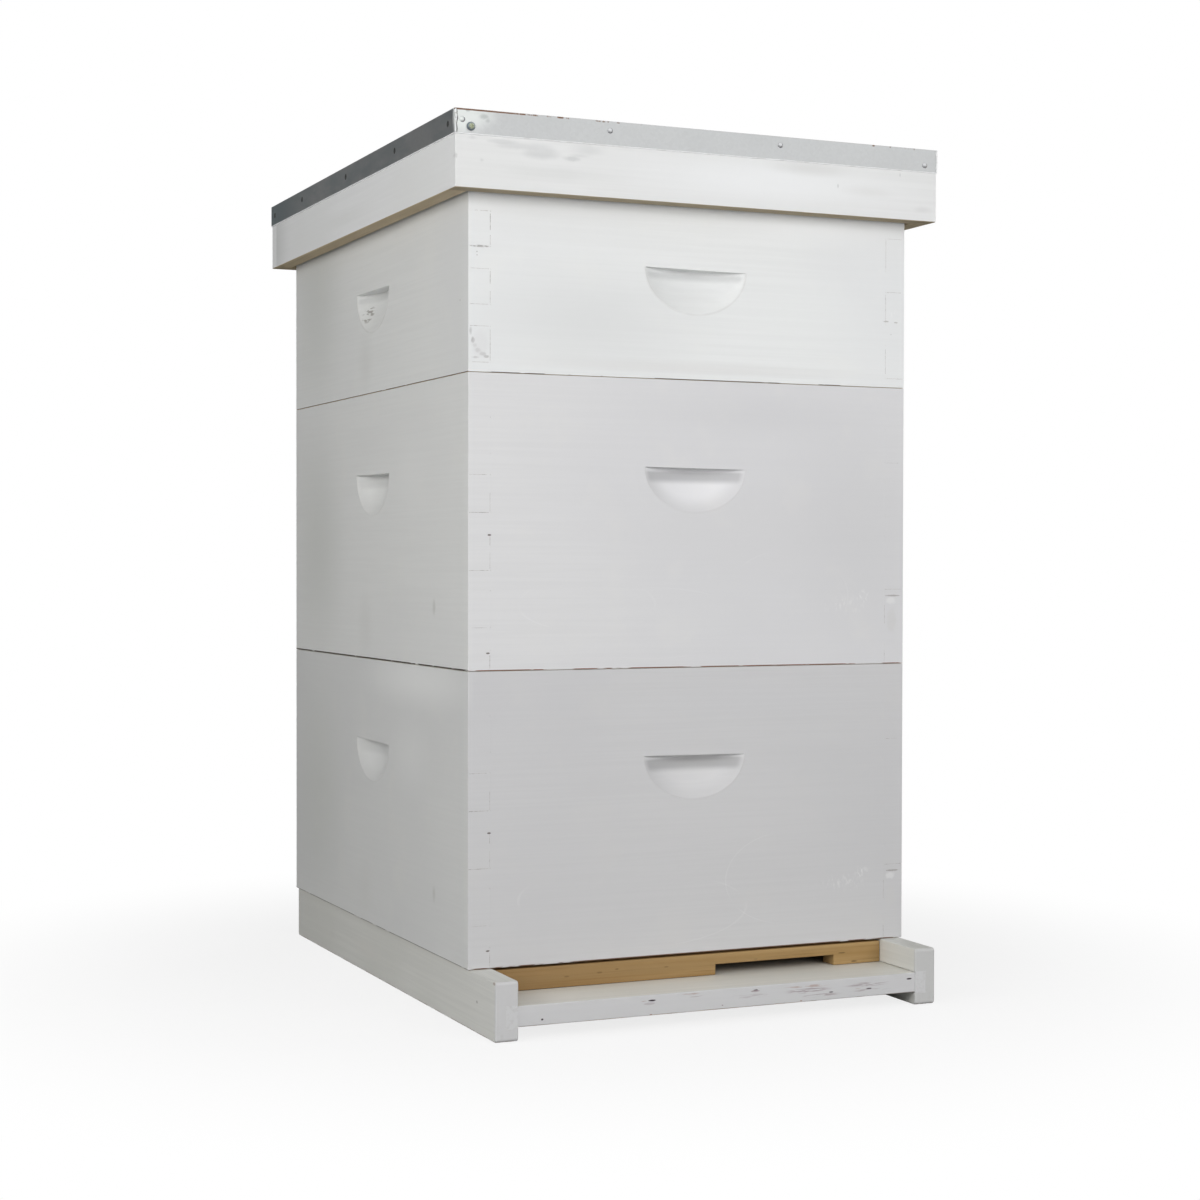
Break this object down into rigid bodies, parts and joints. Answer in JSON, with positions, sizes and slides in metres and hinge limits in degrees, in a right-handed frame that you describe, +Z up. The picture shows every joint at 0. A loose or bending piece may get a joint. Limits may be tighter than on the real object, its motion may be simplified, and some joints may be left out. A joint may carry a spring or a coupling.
{
  "type": "beehive",
  "caption": "White-painted wooden beehive: stacked finger-jointed boxes of hanging frames on a bottom board with entrance reducer, under an inner cover and a metal-capped telescoping cover.",
  "frame": {"origin": "centre of the hive's footprint at ground level, under the bottom board's rails", "axes": "+Z up; -Y is the entrance side, with the landing board; +X is to the right when facing +Y from in front of the entrance"},
  "size_m": [0.4526, 0.5848, 0.747],
  "materials": {
    "white_paint": "painted, satin, lightly worn",
    "raw_pine": "bare planed pine",
    "frame_pine": "bare planed pine with wax foundation",
    "galvanised": "galvanised sheet, dull"
  },
  "bodies": {
    "bottom_board": {"bottom_rail_left": "white_paint", "bottom_rail_right": "white_paint", "bottom_floor": "white_paint", "bottom_rear_cleat": "white_paint"},
    "entrance_slide": {"entrance_reducer": "raw_pine"},
    "lower_deep": {"lower_deep_front": "white_paint", "lower_deep_back": "white_paint", "lower_deep_left": "white_paint", "lower_deep_right": "white_paint"},
    "upper_deep": {"upper_deep_front": "white_paint", "upper_deep_back": "white_paint", "upper_deep_left": "white_paint", "upper_deep_right": "white_paint"},
    "super": {"super_front": "white_paint", "super_back": "white_paint", "super_left": "white_paint", "super_right": "white_paint"},
    "inner_cover": {"inner_cover_panel": "raw_pine", "inner_cover_rim_left": "raw_pine", "inner_cover_rim_right": "raw_pine", "inner_cover_rim_front": "raw_pine", "inner_cover_rim_back": "raw_pine"},
    "outer_cover": {"cover_deck": "raw_pine", "cover_metal_cap": "galvanised", "cover_rim_left": "white_paint", "cover_rim_right": "white_paint", "cover_rim_front": "white_paint", "cover_rim_back": "white_paint", "cover_screw": "galvanised"},
    "lower_frame_01": {"lower_frame_01": "frame_pine"},
    "lower_frame_02": {"lower_frame_02": "frame_pine"},
    "lower_frame_03": {"lower_frame_03": "frame_pine"},
    "lower_frame_04": {"lower_frame_04": "frame_pine"},
    "lower_frame_05": {"lower_frame_05": "frame_pine"},
    "lower_frame_06": {"lower_frame_06": "frame_pine"},
    "lower_frame_07": {"lower_frame_07": "frame_pine"},
    "lower_frame_08": {"lower_frame_08": "frame_pine"},
    "lower_frame_09": {"lower_frame_09": "frame_pine"},
    "lower_frame_10": {"lower_frame_10": "frame_pine"},
    "upper_frame_01": {"upper_frame_01": "frame_pine"},
    "upper_frame_02": {"upper_frame_02": "frame_pine"},
    "upper_frame_03": {"upper_frame_03": "frame_pine"},
    "upper_frame_04": {"upper_frame_04": "frame_pine"},
    "upper_frame_05": {"upper_frame_05": "frame_pine"},
    "upper_frame_06": {"upper_frame_06": "frame_pine"},
    "upper_frame_07": {"upper_frame_07": "frame_pine"},
    "upper_frame_08": {"upper_frame_08": "frame_pine"},
    "upper_frame_09": {"upper_frame_09": "frame_pine"},
    "upper_frame_10": {"upper_frame_10": "frame_pine"},
    "super_frame_01": {"super_frame_01": "frame_pine"},
    "super_frame_02": {"super_frame_02": "frame_pine"},
    "super_frame_03": {"super_frame_03": "frame_pine"},
    "super_frame_04": {"super_frame_04": "frame_pine"},
    "super_frame_05": {"super_frame_05": "frame_pine"},
    "super_frame_06": {"super_frame_06": "frame_pine"},
    "super_frame_07": {"super_frame_07": "frame_pine"},
    "super_frame_08": {"super_frame_08": "frame_pine"},
    "super_frame_09": {"super_frame_09": "frame_pine"},
    "super_frame_10": {"super_frame_10": "frame_pine"}
  },
  "joints": [
    {"name": "lower_deep_lift", "type": "slide", "parent": "bottom_board", "child": "lower_deep", "axis": [0, 0, 1], "range_m": [0, 0.1]},
    {"name": "upper_deep_lift", "type": "slide", "parent": "lower_deep", "child": "upper_deep", "axis": [0, 0, 1], "range_m": [0, 0.3]},
    {"name": "super_lift", "type": "slide", "parent": "upper_deep", "child": "super", "axis": [0, 0, 1], "range_m": [0, 0.3]},
    {"name": "inner_cover_lift", "type": "slide", "parent": "super", "child": "inner_cover", "axis": [0, 0, 1], "range_m": [0, 0.22]},
    {"name": "outer_cover_lift", "type": "slide", "parent": "inner_cover", "child": "outer_cover", "axis": [0, 0, 1], "range_m": [0, 0.09]},
    {"name": "reducer_slide", "type": "slide", "parent": "bottom_board", "child": "entrance_slide", "axis": [0, -1, 0], "range_m": [0, 0.1]},
    {"name": "lower_frame_01_lift", "type": "slide", "parent": "lower_deep", "child": "lower_frame_01", "axis": [0, 0, 1], "range_m": [0, 0.276]},
    {"name": "lower_frame_02_lift", "type": "slide", "parent": "lower_deep", "child": "lower_frame_02", "axis": [0, 0, 1], "range_m": [0, 0.276]},
    {"name": "lower_frame_03_lift", "type": "slide", "parent": "lower_deep", "child": "lower_frame_03", "axis": [0, 0, 1], "range_m": [0, 0.276]},
    {"name": "lower_frame_04_lift", "type": "slide", "parent": "lower_deep", "child": "lower_frame_04", "axis": [0, 0, 1], "range_m": [0, 0.276]},
    {"name": "lower_frame_05_lift", "type": "slide", "parent": "lower_deep", "child": "lower_frame_05", "axis": [0, 0, 1], "range_m": [0, 0.276]},
    {"name": "lower_frame_06_lift", "type": "slide", "parent": "lower_deep", "child": "lower_frame_06", "axis": [0, 0, 1], "range_m": [0, 0.276]},
    {"name": "lower_frame_07_lift", "type": "slide", "parent": "lower_deep", "child": "lower_frame_07", "axis": [0, 0, 1], "range_m": [0, 0.276]},
    {"name": "lower_frame_08_lift", "type": "slide", "parent": "lower_deep", "child": "lower_frame_08", "axis": [0, 0, 1], "range_m": [0, 0.276]},
    {"name": "lower_frame_09_lift", "type": "slide", "parent": "lower_deep", "child": "lower_frame_09", "axis": [0, 0, 1], "range_m": [0, 0.276]},
    {"name": "lower_frame_10_lift", "type": "slide", "parent": "lower_deep", "child": "lower_frame_10", "axis": [0, 0, 1], "range_m": [0, 0.276]},
    {"name": "upper_frame_01_lift", "type": "slide", "parent": "upper_deep", "child": "upper_frame_01", "axis": [0, 0, 1], "range_m": [0, 0.276]},
    {"name": "upper_frame_02_lift", "type": "slide", "parent": "upper_deep", "child": "upper_frame_02", "axis": [0, 0, 1], "range_m": [0, 0.276]},
    {"name": "upper_frame_03_lift", "type": "slide", "parent": "upper_deep", "child": "upper_frame_03", "axis": [0, 0, 1], "range_m": [0, 0.276]},
    {"name": "upper_frame_04_lift", "type": "slide", "parent": "upper_deep", "child": "upper_frame_04", "axis": [0, 0, 1], "range_m": [0, 0.276]},
    {"name": "upper_frame_05_lift", "type": "slide", "parent": "upper_deep", "child": "upper_frame_05", "axis": [0, 0, 1], "range_m": [0, 0.276]},
    {"name": "upper_frame_06_lift", "type": "slide", "parent": "upper_deep", "child": "upper_frame_06", "axis": [0, 0, 1], "range_m": [0, 0.276]},
    {"name": "upper_frame_07_lift", "type": "slide", "parent": "upper_deep", "child": "upper_frame_07", "axis": [0, 0, 1], "range_m": [0, 0.276]},
    {"name": "upper_frame_08_lift", "type": "slide", "parent": "upper_deep", "child": "upper_frame_08", "axis": [0, 0, 1], "range_m": [0, 0.276]},
    {"name": "upper_frame_09_lift", "type": "slide", "parent": "upper_deep", "child": "upper_frame_09", "axis": [0, 0, 1], "range_m": [0, 0.276]},
    {"name": "upper_frame_10_lift", "type": "slide", "parent": "upper_deep", "child": "upper_frame_10", "axis": [0, 0, 1], "range_m": [0, 0.276]},
    {"name": "super_frame_01_lift", "type": "slide", "parent": "super", "child": "super_frame_01", "axis": [0, 0, 1], "range_m": [0, 0.2024]},
    {"name": "super_frame_02_lift", "type": "slide", "parent": "super", "child": "super_frame_02", "axis": [0, 0, 1], "range_m": [0, 0.2024]},
    {"name": "super_frame_03_lift", "type": "slide", "parent": "super", "child": "super_frame_03", "axis": [0, 0, 1], "range_m": [0, 0.2024]},
    {"name": "super_frame_04_lift", "type": "slide", "parent": "super", "child": "super_frame_04", "axis": [0, 0, 1], "range_m": [0, 0.2024]},
    {"name": "super_frame_05_lift", "type": "slide", "parent": "super", "child": "super_frame_05", "axis": [0, 0, 1], "range_m": [0, 0.2024]},
    {"name": "super_frame_06_lift", "type": "slide", "parent": "super", "child": "super_frame_06", "axis": [0, 0, 1], "range_m": [0, 0.2024]},
    {"name": "super_frame_07_lift", "type": "slide", "parent": "super", "child": "super_frame_07", "axis": [0, 0, 1], "range_m": [0, 0.2024]},
    {"name": "super_frame_08_lift", "type": "slide", "parent": "super", "child": "super_frame_08", "axis": [0, 0, 1], "range_m": [0, 0.2024]},
    {"name": "super_frame_09_lift", "type": "slide", "parent": "super", "child": "super_frame_09", "axis": [0, 0, 1], "range_m": [0, 0.2024]},
    {"name": "super_frame_10_lift", "type": "slide", "parent": "super", "child": "super_frame_10", "axis": [0, 0, 1], "range_m": [0, 0.2024]}
  ],
  "couplings": [
    {"joint": "lower_frame_01_lift", "follows": "upper_deep_lift", "ratio": 0.2},
    {"joint": "lower_frame_02_lift", "follows": "upper_deep_lift", "ratio": 0.278},
    {"joint": "lower_frame_03_lift", "follows": "upper_deep_lift", "ratio": 0.356},
    {"joint": "lower_frame_04_lift", "follows": "upper_deep_lift", "ratio": 0.433},
    {"joint": "lower_frame_05_lift", "follows": "upper_deep_lift", "ratio": 0.511},
    {"joint": "lower_frame_06_lift", "follows": "upper_deep_lift", "ratio": 0.589},
    {"joint": "lower_frame_07_lift", "follows": "upper_deep_lift", "ratio": 0.667},
    {"joint": "lower_frame_08_lift", "follows": "upper_deep_lift", "ratio": 0.744},
    {"joint": "lower_frame_09_lift", "follows": "upper_deep_lift", "ratio": 0.822},
    {"joint": "lower_frame_10_lift", "follows": "upper_deep_lift", "ratio": 0.9},
    {"joint": "upper_frame_01_lift", "follows": "super_lift", "ratio": 0.2},
    {"joint": "upper_frame_02_lift", "follows": "super_lift", "ratio": 0.278},
    {"joint": "upper_frame_03_lift", "follows": "super_lift", "ratio": 0.356},
    {"joint": "upper_frame_04_lift", "follows": "super_lift", "ratio": 0.433},
    {"joint": "upper_frame_05_lift", "follows": "super_lift", "ratio": 0.511},
    {"joint": "upper_frame_06_lift", "follows": "super_lift", "ratio": 0.589},
    {"joint": "upper_frame_07_lift", "follows": "super_lift", "ratio": 0.667},
    {"joint": "upper_frame_08_lift", "follows": "super_lift", "ratio": 0.744},
    {"joint": "upper_frame_09_lift", "follows": "super_lift", "ratio": 0.822},
    {"joint": "upper_frame_10_lift", "follows": "super_lift", "ratio": 0.9},
    {"joint": "super_frame_01_lift", "follows": "inner_cover_lift", "ratio": 0.2},
    {"joint": "super_frame_02_lift", "follows": "inner_cover_lift", "ratio": 0.278},
    {"joint": "super_frame_03_lift", "follows": "inner_cover_lift", "ratio": 0.356},
    {"joint": "super_frame_04_lift", "follows": "inner_cover_lift", "ratio": 0.433},
    {"joint": "super_frame_05_lift", "follows": "inner_cover_lift", "ratio": 0.511},
    {"joint": "super_frame_06_lift", "follows": "inner_cover_lift", "ratio": 0.589},
    {"joint": "super_frame_07_lift", "follows": "inner_cover_lift", "ratio": 0.667},
    {"joint": "super_frame_08_lift", "follows": "inner_cover_lift", "ratio": 0.744},
    {"joint": "super_frame_09_lift", "follows": "inner_cover_lift", "ratio": 0.822},
    {"joint": "super_frame_10_lift", "follows": "inner_cover_lift", "ratio": 0.9}
  ]
}
